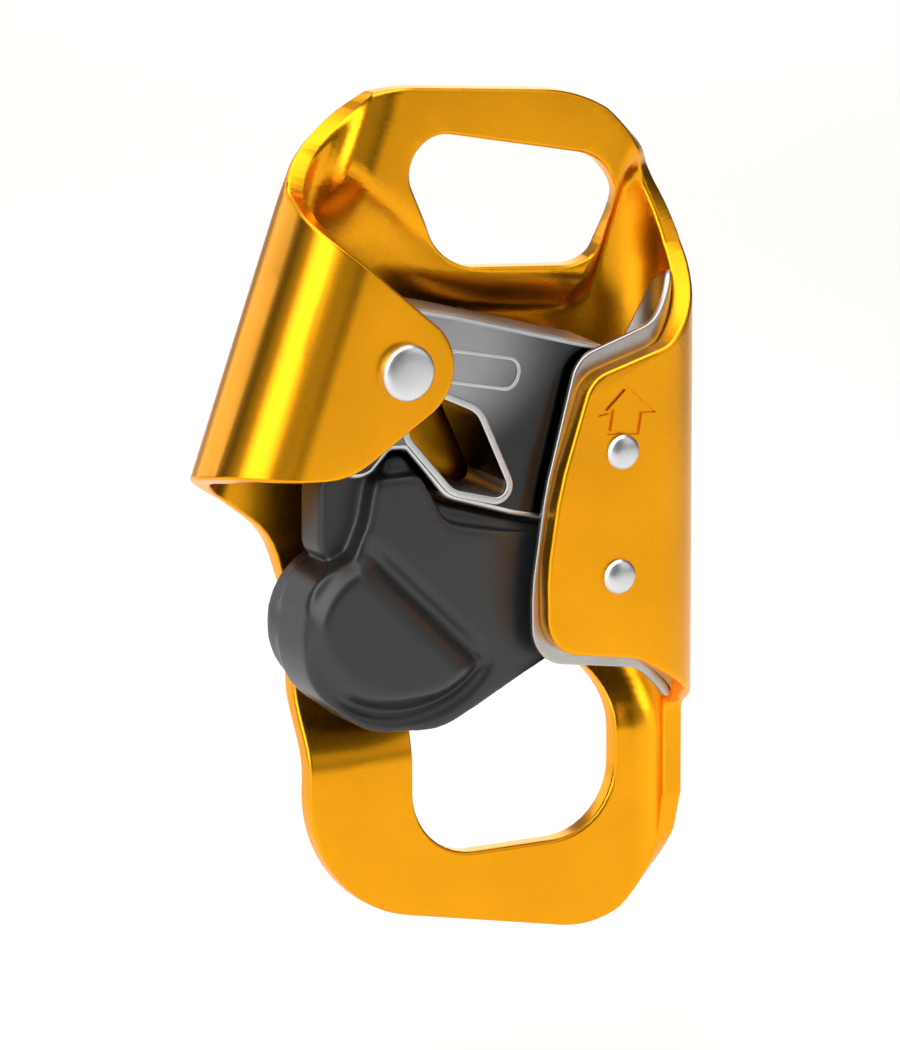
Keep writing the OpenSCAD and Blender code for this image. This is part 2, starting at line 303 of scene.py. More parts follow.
def wrapped_grid(name, rows):
    """Skin over rows of points; each row is a ring, and rows that shrink to a point close the ends."""
    bpy.ops.object.select_all(action="DESELECT")
    around = len(rows[0])
    bpy.ops.mesh.primitive_grid_add(x_subdivisions=around, y_subdivisions=len(rows) - 1)
    obj = bpy.context.object
    obj.name = name
    for i, vertex in enumerate(obj.data.vertices):
        row, column = divmod(i, around + 1)
        vertex.co = rows[row][column % around]
    bpy.ops.object.mode_set(mode="EDIT")
    bpy.ops.mesh.select_all(action="SELECT")
    bpy.ops.mesh.remove_doubles(threshold=0.001)
    bpy.ops.mesh.normals_make_consistent(inside=False)
    bpy.ops.object.mode_set(mode="OBJECT")
    return obj


def turned(name, at, profile, around=64):
    """Round solid about a line along the depth; its profile is (radius, depth) from back to front."""
    rows = [[(at[0] + r*math.cos(2*math.pi*i/around), y, at[1] + r*math.sin(2*math.pi*i/around))
             for i in range(around)] for r, y in profile]
    return wrapped_grid(name, rows)


def swept(name, points, radius, around=12):
    """Closed round wire along points."""
    path = [Vector(p) for p in points]
    rows = []
    for i, point in enumerate(path):
        ahead = (path[min(i + 1, len(path) - 1)] - path[max(i - 1, 0)]).normalized()
        side = ahead.cross(Vector((0, 1, 0)) if abs(ahead.y) < 0.8 else Vector((1, 0, 0))).normalized()
        up = ahead.cross(side)
        turns = [2*math.pi*k/around for k in range(around)]
        rows.append([tuple(point + radius*(math.cos(turn)*side + math.sin(turn)*up)) for turn in turns])
    rows = [[tuple(path[0])]*around] + rows + [[tuple(path[-1])]*around]
    return wrapped_grid(name, rows)


# --- the frame --------------------------------------------------------------------
CHANNEL_X = 40                       # axis of the rope channel's round wall
MID_Y = -11                          # depth of the rope channel's axis
FOLD_FOOT = -10.7                    # where the left fold begins at the axle's height
TOP_LEFT, TOP_LEFT_R = (7, 19), 18.3
TOP_RIGHT, TOP_RIGHT_R = (27, 11), 24
HEAD_TILT = 83.5                     # direction square to the head's top edge
LUG_LEFT, LUG_LEFT_R = (12.2, -64), 20
LUG_RIGHT, LUG_RIGHT_R = (36.2, -74), 14.8
LUG_HOLE, LUG_HOLE_SIZE, LUG_HOLE_R = (25.5, -62), (33, 27), 10
JOGGLE_TOP, LUG_TOP = -48, -61       # where the lug's step begins and ends
LUG_FOLD_SHIFT = 3                   # the right fold begins this much further out beside the lug
NOSE_R = 8
AXLE_HOLE_R = 4.2
# Lines that bound the plateau: normal, distance from the axle, width of the skirt
PLATEAU_LINES = (((0.673, 0.740), 8.6, 12), ((0.134, 0.991), 5.2, 7.5), ((-0.924, 0.382), -36.5, 6))
SKIRT_END = 18, 27                   # heights between which the right-hand skirt runs out
PLATEAU_FADE = -11, 4                # the plateau fades out between these distances from the left fold
UPPER_HOLE = (arc((33.5, 17.2), 8.2, -100, 77) + arc((13.4, 24.6), 5.4, 77, 197)
              + arc((20, 19.8), 9.6, 197, 258))
SMALL_RIVETS = ((35, -15.6), (34.5, -33.7))
RIVET_SHANK_R, RIVET_HEAD_R, RIVET_TAIL = 1.6, 2.55, -18
ARROW = ((35.6, -5.9), (30.9, -10.1), (33, -9.9), (32.5, -12.9), (37.7, -13.4), (38.2, -10.3),
         (40.5, -10.5))
ARROW_LINE, ARROW_DEPTH = 0.55, 0.4   # width and depth of the arrow's groove


class Sheet:
    """The folded sheet: where a point of the flat blank ends up."""

    def __init__(self, sizes):
        self.t = sizes.sheet
        self.r = sizes.fold_radius
        self.depth = sizes.depth
        self.plateau = sizes.plateau
        self.lug_step = sizes.lug_step
        self.lean = sizes.fold_lean
        self.mid = self.r - self.t/2
        self.quarter = self.mid*math.pi/2
        self.straight = self.depth - 2*self.r
        self.roll = 2*self.quarter + self.straight
        self.wall_r = self.depth/2
        self.wall_mid = self.wall_r - self.t/2
        self.wall_at = CHANNEL_X + self.wall_mid*math.pi/2

    def to_fold(self, x, z):
        """Distance right of the left fold's line, and distance along it."""
        c, s = math.cos(self.lean), math.sin(self.lean)
        return (x - FOLD_FOOT)*c - z*s, (x - FOLD_FOOT)*s + z*c

    def from_fold(self, u, w):
        c, s = math.cos(self.lean), math.sin(self.lean)
        return FOLD_FOOT + u*c + w*s, -u*s + w*c

    def blank(self, travel, along):
        """Point of the blank at a travel round the left fold and a distance along it."""
        return self.from_fold(-travel, along)

    def step(self, x, z):
        """How far the sheet is pressed to the front of the back plane."""
        if z < JOGGLE_TOP:
            return self.lug_step*ease((JOGGLE_TOP - z)/(JOGGLE_TOP - LUG_TOP))
        rise = self.plateau
        for normal, distance, width in PLATEAU_LINES:
            share = ease((x*normal[0] + z*normal[1] - distance)/width)
            rise *= share if normal[0] > 0 else share + (1 - share)*blend_between(*SKIRT_END, z)
        u = self.to_fold(x, z)[0]
        return rise*blend_between(*PLATEAU_FADE, u)

    def wall_start(self, z):
        """Where the right fold begins at this height."""
        return CHANNEL_X + LUG_FOLD_SHIFT*ease((JOGGLE_TOP + 4 - z)/(JOGGLE_TOP - LUG_TOP))

    def from_front(self, x, z):
        """Point of the blank that is seen at a place from the front, on the back plate or its two folds."""
        start = self.wall_start(z)
        if x > start:
            share = math.asin(min(1, (x - start)/(CHANNEL_X + self.wall_r - start)))/(math.pi/2)
            return start + share*(self.wall_at - start), z
        u, w = self.to_fold(x, z)
        if u < 0:
            return self.blank(self.mid*math.asin(min(1, -u/self.r)), w)
        return x, z

    def fold(self, x, y, z):
        """Where a point of the flat blank ends up."""
        d = -y
        u, w = self.to_fold(x, z)
        if u < 0:
            d += self.step(x, z)
            travel, r = -u, self.r - d
            if travel < self.quarter:
                a = travel/self.mid
                u, y = -r*math.sin(a), -self.r + r*math.cos(a)
            elif travel < self.quarter + self.straight:
                u, y = -r, -self.r - (travel - self.quarter)
            elif travel < self.roll:
                a = (travel - self.quarter - self.straight)/self.mid
                u, y = -r*math.cos(a), -self.depth + self.r - r*math.sin(a)
            else:
                u, y = travel - self.roll, -self.depth + d
            x, z = self.from_fold(u, w)
            return x, y, z
        start = self.wall_start(z)
        h = self.step(x, z)
        if x <= start:
            return x, y - h, z
        if x <= self.wall_at:
            a = (x - start)/(self.wall_at - start)*math.pi/2
            across = CHANNEL_X + self.wall_r - start - d
            return start + across*math.sin(a), -self.wall_r + (self.wall_r - h - d)*math.cos(a), z
        travel = x - self.wall_at
        a = travel/self.wall_mid
        r = self.wall_r - d
        if a <= math.pi/2:
            return CHANNEL_X + r*math.cos(a), -self.wall_r - r*math.sin(a), z
        return CHANNEL_X - (travel - self.wall_mid*math.pi/2), -self.depth + d, z

    def outline(self):
        """The blank's outline, anticlockwise from the right of the arch."""
        arch = [self.from_front(*p) for p in arc(TOP_RIGHT, TOP_RIGHT_R, 0, HEAD_TILT, 56)
                + arc(TOP_LEFT, TOP_LEFT_R, HEAD_TILT, 146, 24)]
        nose_at = self.roll + self.to_fold(0, 0)[0], self.to_fold(0, 0)[1]
        nose = arc(nose_at, NOSE_R, 64, -34, 24)
        top = chain([(7.6, 28.3), (11.3, 22.6, 3), (32.4, 14.2, 6), nose[0]])
        bottom = chain([nose[-1], (34.6, -13.2, 12), (15.8, -18.6, 8), (0, -22.1)])
        left = chain([self.blank(5.9, -20), (*self.blank(0, -22.1), 6), (-11.5, -26, 12), (-7.6, -38, 12),
                      (-7.6, -60)])
        lug = arc(LUG_LEFT, LUG_LEFT_R, 176, 259) + arc(LUG_RIGHT, LUG_RIGHT_R, 259, 352, 48)
        turn = self.wall_at
        wall = chain([(turn, -75), (turn + 0.7, -70, 2), (turn + 0.7, -56.5, 2), (turn + 8.6, -51.8, 5),
                      (turn + 16.9, -46.3, 8), (turn + 31.7, -43.8, 6), (turn + 31.9, -32, 20),
                      (turn + 30, -20, 30), (turn + 24.9, -4.5, 5), (turn + 12, -1, 4), (turn + 4, 6, 5),
                      (turn, 11)])
        return (arch + [self.blank(*p) for p in top + nose + bottom] + left
                + [self.from_front(*p) for p in lug] + wall)

    def cuts(self, slab):
        """Cuts the slab finely enough to bend."""
        c, s = math.cos(self.lean), math.sin(self.lean)
        quarter, second = self.quarter, self.quarter + self.straight
        travels = spaced(0, quarter, 12) + spaced(second, self.roll, 12)
        in_roll = lambda x, z: self.to_fold(x, z)[0] < 0.1
        cut(slab, [(self.blank(t, 0), (c, -s)) for t in travels], in_roll)
        wall_end = CHANNEL_X + 2*(self.wall_at - CHANNEL_X)
        cut(slab, [((x, 0), (1, 0)) for x in spaced(CHANNEL_X, wall_end, 30)],
            lambda x, z: x > CHANNEL_X - 0.1)
        cut(slab, [((0, z), (0, 1)) for z in spaced(LUG_TOP, JOGGLE_TOP, 12)],
            lambda x, z: -10 < x < 60 and z < JOGGLE_TOP + 10)
        on_head = lambda x, z: -26 < x < 56 and z > 0
        for normal, distance, width in PLATEAU_LINES:
            skirt = spaced(distance, distance + width, 10)
            cut(slab, [((normal[0]*d, normal[1]*d), normal) for d in skirt], on_head)
        cut(slab, [((0, z), (0, 1)) for z in spaced(2, 34, 24)], lambda x, z: 38 < x < 57 and z > 0)
        across = lambda x, z: PLATEAU_FADE[0] - 1 < self.to_fold(x, z)[0] < PLATEAU_FADE[1] + 1 and z > 2
        cut(slab, [(self.from_fold(u, 0), (c, -s)) for u in spaced(1, PLATEAU_FADE[1], 3)], across)
        cut(slab, [(self.from_fold(0, w), (s, c)) for w in spaced(8, 36, 28)], across)


def rounded_box(centre, size, radius):
    return rounded([(centre[0] + a*size[0]/2, centre[1] + b*size[1]/2, radius)
                    for a, b in ((1, 1), (-1, 1), (-1, -1), (1, -1))])


class ROPECLAMP_OT_frame(bpy.types.Operator):
    """Folds the anodised frame from one flat blank"""
    bl_idname = "ropeclamp.frame"
    bl_label = "Frame"

    def execute(self, context):
        sizes = context.scene.clamp_frame
        sheet = Sheet(sizes)
        holes = [UPPER_HOLE, rounded_box(LUG_HOLE, LUG_HOLE_SIZE, LUG_HOLE_R),
                 arc((0, 0), AXLE_HOLE_R, 0, 352, 44)]
        blank = flat_slab("folded_frame", [sheet.outline()] + holes, 0, -sizes.sheet, sizes.edge)
        sheet.cuts(blank)
        place(blank, sheet.fold)
        groove = flat_slab("arrow_groove", [ARROW, parallel(ARROW, ARROW_LINE)], -sizes.depth + ARROW_DEPTH,
                           -sizes.depth - 1)
        place(groove)
        boolean(blank, groove)
        finish_piece(blank, anodised_aluminium(sizes.gold), "frame_body", ["frame"])
        return {"FINISHED"}


# --- the channel's liner ------------------------------------------------------------
LINER_FRONT = ((55.7, 8.6, 3), (61.5, 1.9, 8), (74.2, -2, 5), (79.3, -21, 30), (81.4, -35, 20),
               (81.3, -45.6, 6), (64.1, -48.4, 6), (58.1, -54, 3))
LINER_ROOM = 0.01                     # between the liner and the frame


class ROPECLAMP_OT_liner(bpy.types.Operator):
    """Bends the stainless liner of the rope channel, and sets its two rivets"""
    bl_idname = "ropeclamp.liner"
    bl_label = "Liner and rivets"

    def execute(self, context):
        sizes = context.scene.clamp_liner
        sheet = context.scene.clamp_frame.sheet
        radius = context.scene.clamp_frame.depth/2 - sheet - LINER_ROOM
        mid = radius - sizes.sheet/2
        turn = mid*math.pi
        outline = rounded([(27, -9, 2), (42, -9, 6), (50, 6, 6)] + list(LINER_FRONT)
                          + [(51, -54, 3), (44, -48, 4), (27, -48, 2)])
        liner = flat_slab("channel_liner", [outline[::-1]], 0, -sizes.sheet, sizes.edge)
        cut(liner, [((x, 0), (1, 0)) for x in spaced(CHANNEL_X, CHANNEL_X + turn, 32)])

        def bend(x, y, z):
            r = radius + y
            if x <= CHANNEL_X:
                return x, MID_Y + r, z
            if x <= CHANNEL_X + turn:
                a = (x - CHANNEL_X)/mid
                return CHANNEL_X + r*math.sin(a), MID_Y + r*math.cos(a), z
            return 2*CHANNEL_X + turn - x, MID_Y - r, z

        place(liner, bend)
        finish_piece(liner, stainless_sheet(), "frame_body", ["wear_plate"])
        rivets = []
        for at in SMALL_RIVETS:
            front = -context.scene.clamp_frame.depth
            head = [(0, RIVET_TAIL), (RIVET_SHANK_R, RIVET_TAIL), (RIVET_SHANK_R, front),
                    (RIVET_HEAD_R, front), (RIVET_HEAD_R, front - 0.35)]
            head += [(2.45*math.cos(a), front - 0.4 - 0.8*math.sin(a)) for a in spaced(0.15, math.pi/2, 8)]
            rivets.append(turned("liner_rivets", at, head[:-1] + [(0, front - 1.2)]))
        rivets = join(rivets[0], rivets[1:])
        place(rivets)
        finish_piece(rivets, zinc_plated_steel(), "frame_body", ["wear_plate_rivets"])
        return {"FINISHED"}


# --- the axle and the springs ---------------------------------------------------------
AXLE_SHANK_R, AXLE_HEAD_R = 3, 4.1
CAM_COIL_R, CAM_WIRE_R, CAM_COIL_TURNS = 5.75, 0.6, 4
CATCH_COIL_R, CATCH_WIRE_R, CATCH_COIL_TURNS = 2.35, 0.35, 2.5


class ROPECLAMP_OT_axle(bpy.types.Operator):
    """Turns the cam's axle with its pressed head"""
    bl_idname = "ropeclamp.axle"
    bl_label = "Cam axle"

    def execute(self, context):
        front = -context.scene.clamp_frame.depth
        rear_head = [(0, -0.1), (AXLE_HEAD_R - 0.2, -0.1), (AXLE_HEAD_R, -0.3), (AXLE_HEAD_R, -1.6)]
        front_head = [(AXLE_HEAD_R, front), (AXLE_HEAD_R, front - 1.0), (3.95, front - 1.35),
                      (3.6, front - 1.6), (3.0, front - 1.75), (1.6, front - 1.87), (0, front - 1.9)]
        profile = rear_head + [(AXLE_SHANK_R, -1.6), (AXLE_SHANK_R, front)] + front_head
        axle = turned("axle_rivet", (0, 0), profile, 80)
        place(axle)
        finish_piece(axle, zinc_plated_steel(), "frame_body", ["cam_axle"])
        return {"FINISHED"}


def coil(at, radius, front, back, turns, start, steps=28):
    """Points along a coil between two depths, from a start angle."""
    points = []
    for i in range(int(turns*steps) + 1):
        angle = start + 2*math.pi*i/steps
        points.append((at[0] + radius*math.cos(angle), back + (front - back)*i/(turns*steps),
                       at[1] + radius*math.sin(angle)))
    return points


CATCH_PIN = (-4.5, -11.5)


class ROPECLAMP_OT_springs(bpy.types.Operator):
    """Winds the cam's and the catch's torsion springs"""
    bl_idname = "ropeclamp.springs"
    bl_label = "Springs"

    def execute(self, context):
        steel = spring_steel()
        wire = coil((0, 0), CAM_COIL_R, -10, -3.8, CAM_COIL_TURNS, math.pi/2)
        cam_spring = swept("cam_coil", wire, CAM_WIRE_R)
        place(cam_spring)
        finish_piece(cam_spring, steel, "frame_body", ["cam_spring"])
        wire = coil(CATCH_PIN, CATCH_COIL_R, -10.6, -8.4, CATCH_COIL_TURNS, 0, 20)
        catch_spring = swept("catch_coil", wire, CATCH_WIRE_R, 10)
        place(catch_spring)
        finish_piece(catch_spring, steel, "catch_body", ["catch_spring"])
        return {"FINISHED"}


# --- the cam -----------------------------------------------------------------------------
CAM_FRONT, CAM_BACK = -16.8, -5.2
FACE_CENTRE, TOOTH_FACE_R = (20, -22), 25.6
CAM_OUTLINE = (arc((0, 0), 8.5, 75, 195) + arc(CATCH_PIN, 4.6, 190, 300)
               + chain([(-2.2, -15.5), (0.6, -12.6, 1.2), (3, -12.8, 1.2), (9.3, -20.6, 5), (20, -24.2, 8),
                        (44, -30.6)])
               + arc(FACE_CENTRE, TOOTH_FACE_R, -19, 54, 36) + chain([(33, 1.6), (11, 5.9, 3), (2, 9)]))
CAM_WINDOW = rounded([(8, -5.6, 2), (14.2, -8.6, 4), (20.2, -22, 1.5), (10.5, -19.2, 4), (2.6, -9.8, 2)])
NOSE_ROOM = 6.5                       # the toothed nose runs inside this radius of the channel's axis
CATCH_SLOT = rounded([(-0.2, -11.5, 0), (-0.2, -60, 0), (-40, -60, 0), (-40, -9, 0), (-8.5, -10.1, 0),
                      (-7.6, -8.6, 1.5), (-4.5, -7.2, 2.5), (-1.4, -8.6, 1.5)])
CHEEK = 2.5                           # thickness of the cam's cheeks beside the slot
BUSH_BORE_R = 5.3
POCKET_R, POCKET_DEPTH = 6.8, 5.6     # of the spring's pocket
PIN_HOLE_R = 1.5
BEHIND, BEFORE = 1, -30               # depths that reach past every piece, for tools that cut through
LIP_WIDTH = 1.1
CARTOUCHE_SIZE, CARTOUCHE_R, CARTOUCHE_AT, CARTOUCHE_TILT = (12.9, 5), 2.2, (14.95, -2.5), -13
CARTOUCHE_LINE, CARTOUCHE_RISE = 0.55, 0.22
TOOTH_START, TOOTH_SWEEP = -17, 54    # degrees round the toothed face
# A tooth's outline: distance past the toothed face, and turn round it in radians
TOOTH = ((-0.5, -0.038), (1, -0.021), (-0.5, 0.028))


def round_nose(x, y, z):
    """Narrows the cam's toothed nose to the channel's round wall."""
    over = max(0, x - CHANNEL_X)
    half = math.sqrt(max(0.3, NOSE_ROOM**2 - over**2))
    return x, MID_Y + max(-half, min(half, y - MID_Y)), z


def tilted(points, centre, degrees):
    """An outline turned about its origin, and moved to a centre."""
    c, s = math.cos(math.radians(degrees)), math.sin(math.radians(degrees))
    return [(centre[0] + x*c - z*s, centre[1] + x*s + z*c) for x, z in points]


class ROPECLAMP_OT_cam(bpy.types.Operator):
    """Makes the toothed cam with its window, lips and blank cartouche"""
    bl_idname = "ropeclamp.cam"
    bl_label = "Cam"

    def execute(self, context):
        sizes = context.scene.clamp_cam
        holes = [CAM_WINDOW, arc((0, 0), BUSH_BORE_R, 0, 352, 44)]
        cam = flat_slab("toothed_cam", [CAM_OUTLINE] + holes, CAM_BACK, CAM_FRONT, sizes.edge)
        pocket = arc((0, 0), POCKET_R, 0, 352, 44)
        pin_hole = arc(CATCH_PIN, PIN_HOLE_R, 0, 350, 35)
        boolean(cam, flat_slab("slot", [CATCH_SLOT], CAM_BACK - CHEEK, CAM_FRONT + CHEEK))
        boolean(cam, flat_slab("pocket", [pocket], BEHIND, CAM_BACK - POCKET_DEPTH))
        boolean(cam, flat_slab("pin_hole", [pin_hole], BEHIND, BEFORE))
        cut(cam, [((x, 0), (1, 0)) for x in spaced(CHANNEL_X, CHANNEL_X + 6, 8)], lambda x, z: x > 36)
        lips = [flat_slab("window_lip", [parallel(CAM_WINDOW, LIP_WIDTH), CAM_WINDOW], CAM_FRONT + 0.5,
                          CAM_FRONT - sizes.lip, 0.3)]
        capsule = tilted(rounded_box((0, 0), CARTOUCHE_SIZE, CARTOUCHE_R), CARTOUCHE_AT, CARTOUCHE_TILT)
        lips.append(flat_slab("cartouche", [capsule, parallel(capsule, CARTOUCHE_LINE)], CAM_FRONT + 0.3,
                              CAM_FRONT - CARTOUCHE_RISE, 0.12))
        for i in range(sizes.tooth_rows):
            a = math.radians(TOOTH_START + TOOTH_SWEEP*i/(sizes.tooth_rows - 1))
            inset = 0.8 + 0.9*(i % 2)
            tooth = [(FACE_CENTRE[0] + (TOOTH_FACE_R + past)*math.cos(a + turn),
                      FACE_CENTRE[1] + (TOOTH_FACE_R + past)*math.sin(a + turn)) for past, turn in TOOTH]
            lips.append(flat_slab("tooth", [tooth], CAM_BACK - inset, CAM_FRONT + inset, 0.05))
        join(cam, lips)
        flat = [abs(face.normal.y) > 0.97 and face.center.y > CAM_FRONT - 0.1 for face in cam.data.polygons]
        inside = [math.hypot(face.center.x - 12, face.center.z + 12) < 8 and abs(face.normal.y) < 0.3
                  for face in cam.data.polygons]
        place(cam, round_nose)
        finish_piece(cam, cast_steel(sizes.steel), "cam_body", ["cam"])
        # The rims, top, sides and lips take a brighter copy of the steel, a painted highlight; the flat
        # front and the window's walls keep the darker steel
        cam.data.materials.append(painted_highlight_steel())
        for face, flat_front, hidden in zip(cam.data.polygons, flat, inside):
            face.material_index = 0 if flat_front or hidden else 1
        return {"FINISHED"}


# --- the catch ------------------------------------------------------------------------------
CATCH_FRONT, CATCH_BACK = -17.6, -8.6
STEP_FRONT, PAD_BACK = -15.5, -5
ARM_FRONT, ARM_BACK = -14.15, -7.85
PIN_BORE_R, COIL_BORE_R, COIL_FLOOR = 1.55, 3.1, -11
CATCH_FACE = rounded([(-2.2, -16.2, 1.5), (5, -16.4, 2), (9.2, -24, 5), (20, -26.6, 8), (31, -28.2, 2),
                      (31, -43.5, 3), (8.5, -53.9, 10), (-3, -53.2, 10), (-13.7, -45, 10),
                      (-12.8, -30.4, 6), (-9.7, -28.9, 1.5), (-5.5, -27.1, 2.5), (-3.5, -22.6, 5)])
CATCH_STEP = rounded([(0.6, -13.8, 1.2), (3.4, -13.8, 1.2), (8.6, -21.4, 5), (20, -25, 8), (31, -28, 2),
                      (31, -43, 3), (19, -47.5, 2), (0, -40, 2), (-2, -22, 2)])
PAD_CENTRE, PAD_R = (-2.2, -38.2), 11.1
CATCH_PAD = arc(PAD_CENTRE, PAD_R, 100, 258, 26) + chain([(-4.5, -49), (7.5, -50.6, 8), (17.5, -47.2, 3),
                                                          (-1.2, -27.2, 3), (-4, -27.3)])
CATCH_ARM = arc(CATCH_PIN, 3.7, 0, 170) + chain([(-8.5, -11), (-9.2, -18, 5), (-9.3, -28.6, 2.8),
                                                 (-0.4, -28.6, 2.8), (-0.5, -17, 2), (-0.5, -11.5)])
PAD_RISE = 1.9                        # the thumb pad's height over the catch's face
VALLEY_DEPTH = 1.5                    # of the valley along the pad's chord and foot
SIDE_FALL = 1.6                       # how far the face turns away at its right end
PAD_CHORD = (-2.4, -28.1), (-0.699, -0.715)
PAD_FOOT, PAD_FOOT_R = (2.5, -33), 17.2


def hump(value, middle, half):
    """Smooth hump of height 1 about a middle."""
    return ease(1 - abs(value - middle)/half)


def thumb_relief(x, y, z):
    """Raises the pad with its soft shoulders and sinks the valley round it, on the front skin only."""
    weight = max(0, min(1, CATCH_FRONT + 1 - y))
    inside_chord = (x - PAD_CHORD[0][0])*PAD_CHORD[1][0] + (z - PAD_CHORD[0][1])*PAD_CHORD[1][1]
    inside_foot = PAD_FOOT_R - math.hypot(x - PAD_FOOT[0], z - PAD_FOOT[1])
    inside_left = PAD_R + 0.1 - math.hypot(min(0, x - PAD_CENTRE[0]), z - PAD_CENTRE[1])
    rise = PAD_RISE*ease(inside_chord/3.6)*ease(inside_foot/2.6)*ease(inside_left/1.6)
    valley = VALLEY_DEPTH*max(hump(inside_chord, -0.6, 1.9)*ease((inside_foot + 1.5)/3)*ease((x + 5)/5),
                              hump(inside_foot, -0.5, 1.4)*ease((inside_chord + 2)/3)*ease((x + 11)/6))
    turned_away = SIDE_FALL*ease((x - 12)/14)
    return x, y + weight*(valley + turned_away - rise), z


class ROPECLAMP_OT_catch(bpy.types.Operator):
    """Moulds the catch with its thick thumb pad"""
    bl_idname = "ropeclamp.catch"
    bl_label = "Catch"

    def execute(self, context):
        sizes = context.scene.clamp_catch
        parts = [flat_slab("thumb_catch", [CATCH_FACE], CATCH_BACK, CATCH_FRONT),
                 flat_slab("step", [CATCH_STEP], CATCH_BACK, STEP_FRONT),
                 flat_slab("pad", [CATCH_PAD], PAD_BACK, CATCH_FRONT),
                 flat_slab("arm", [CATCH_ARM], ARM_BACK, ARM_FRONT)]
        catch = join(parts[0], parts[1:])
        only(catch)
        bpy.ops.object.modifier_add(type="REMESH")
        catch.modifiers[-1].mode = "VOXEL"
        catch.modifiers[-1].voxel_size = sizes.grain
        bpy.ops.object.modifier_apply(modifier=catch.modifiers[-1].name)
        for vertex in catch.data.vertices:
            vertex.co = thumb_relief(*vertex.co)
        bpy.ops.object.modifier_add(type="SMOOTH")
        # Enough passes to round the edges to about their radius
        catch.modifiers[-1].factor = 0.5
        catch.modifiers[-1].iterations = round(2*(sizes.edge/sizes.grain)**2)
        bpy.ops.object.modifier_apply(modifier=catch.modifiers[-1].name)
        pin_bore = arc(CATCH_PIN, PIN_BORE_R, 0, 350, 35)
        coil_bore = arc(CATCH_PIN, COIL_BORE_R, 0, 350, 35)
        boolean(catch, flat_slab("pin_bore", [pin_bore], BEHIND, BEFORE))
        boolean(catch, flat_slab("coil_bore", [coil_bore], BEHIND, COIL_FLOOR))
        place(catch)
        finish_piece(catch, nylon(sizes.nylon), "catch_body", ["catch_lever"], 60)
        return {"FINISHED"}


# --- finishes -------------------------------------------------------------------------------
def linear(shown):
    """Linear colour of an sRGB one, with its opacity."""
    return tuple(c/12.92 if c <= 0.04045 else ((c + 0.055)/1.055)**2.4 for c in shown) + (1,)


def add_node(tree, kind, values=None, links=None, **settings):
    """Adds a node with its settings, its inputs' values and its links."""
    node = tree.nodes.new(kind)
    for name, value in settings.items():
        setattr(node, name, value)
    for name, value in (values or {}).items():
        node.inputs[name].default_value = value
    for name, source in (links or {}).items():
        tree.links.new(source, node.inputs[name])
    return node


def new_material(name):
    """Empty material with a shader and the place on the piece."""
    material = bpy.data.materials.new(name)
    material.use_nodes = True
    tree = material.node_tree
    shader = tree.nodes["Principled BSDF"]
    place_node = add_node(tree, "ShaderNodeTexCoord")
    return material, tree, shader, place_node.outputs["Object"]


def per_mm(size):
    """Noise scale whose grains are this many millimetres across."""
    return 1/(size*MM)


def anodised_aluminium(gold):
    """Aluminium etched satin and dyed: a soft metal sheen with an even fine tooth."""
    material, tree, shader, at = new_material("anodised_aluminium")
    tint = add_node(tree, "ShaderNodeTexNoise", {"Scale": per_mm(18), "Detail": 3}, {"Vector": at})
    ramp = add_node(tree, "ShaderNodeValToRGB", links={"Fac": tint.outputs["Fac"]})
    ramp.color_ramp.elements[0].position = 0.3
    ramp.color_ramp.elements[1].position = 0.7
    ramp.color_ramp.elements[0].color = linear([c*0.95 for c in gold])
    ramp.color_ramp.elements[1].color = linear([min(1, c*1.02) for c in gold])
    tooth = add_node(tree, "ShaderNodeTexNoise", {"Scale": per_mm(0.25), "Detail": 4}, {"Vector": at})
    rough = add_node(tree, "ShaderNodeMapRange", {"To Min": 0.24, "To Max": 0.34},
                     {"Value": tooth.outputs["Fac"]})
    bump = add_node(tree, "ShaderNodeBump", {"Strength": 0.06, "Distance": 0.02*MM},
                    {"Height": tooth.outputs["Fac"]})
    tree.links.new(ramp.outputs["Color"], shader.inputs["Base Color"])
    tree.links.new(rough.outputs["Result"], shader.inputs["Roughness"])
    tree.links.new(bump.outputs["Normal"], shader.inputs["Normal"])
    shader.inputs["Metallic"].default_value = 1
    return material


def plated(name, shown, rough_low, rough_high, grain, stretch=(1, 1, 1)):
    """Bare or plated metal with fine marks of a given size, which a stretch draws out into lines."""
    material, tree, shader, at = new_material(name)
    drawn = add_node(tree, "ShaderNodeMapping", {"Scale": stretch}, {"Vector": at})
    marks = add_node(tree, "ShaderNodeTexNoise", {"Scale": per_mm(grain), "Detail": 5},
                     {"Vector": drawn.outputs["Vector"]})
    cloud = add_node(tree, "ShaderNodeTexNoise", {"Scale": per_mm(6), "Detail": 3}, {"Vector": at})
    ramp = add_node(tree, "ShaderNodeValToRGB", links={"Fac": cloud.outputs["Fac"]})
    ramp.color_ramp.elements[0].color = linear([c*0.88 for c in shown])
    ramp.color_ramp.elements[1].color = linear([min(1, c*1.05) for c in shown])
    rough = add_node(tree, "ShaderNodeMapRange", {"To Min": rough_low, "To Max": rough_high},
                     {"Value": marks.outputs["Fac"]})
    bump = add_node(tree, "ShaderNodeBump", {"Strength": 0.12, "Distance": 0.03*MM},
                    {"Height": marks.outputs["Fac"]})
    tree.links.new(ramp.outputs["Color"], shader.inputs["Base Color"])
    tree.links.new(rough.outputs["Result"], shader.inputs["Roughness"])
    tree.links.new(bump.outputs["Normal"], shader.inputs["Normal"])
    shader.inputs["Metallic"].default_value = 1
    return material


def stainless_sheet():
    """Cold rolled stainless strip: bright, with the rope's fine lengthwise rub marks."""
    return plated("stainless_sheet", srgb("B9B8B6"), 0.24, 0.4, 0.5, (1, 1, 0.08))


def zinc_plated_steel():
    """Zinc plated rivet steel: pale, even and softly bright."""
    return plated("zinc_plated_steel", srgb("DCDDE0"), 0.26, 0.38, 0.35)


# Pale steel of the painted highlight round the cam's hub
PAINTED_SHEEN_STEEL = "9C9C9E"


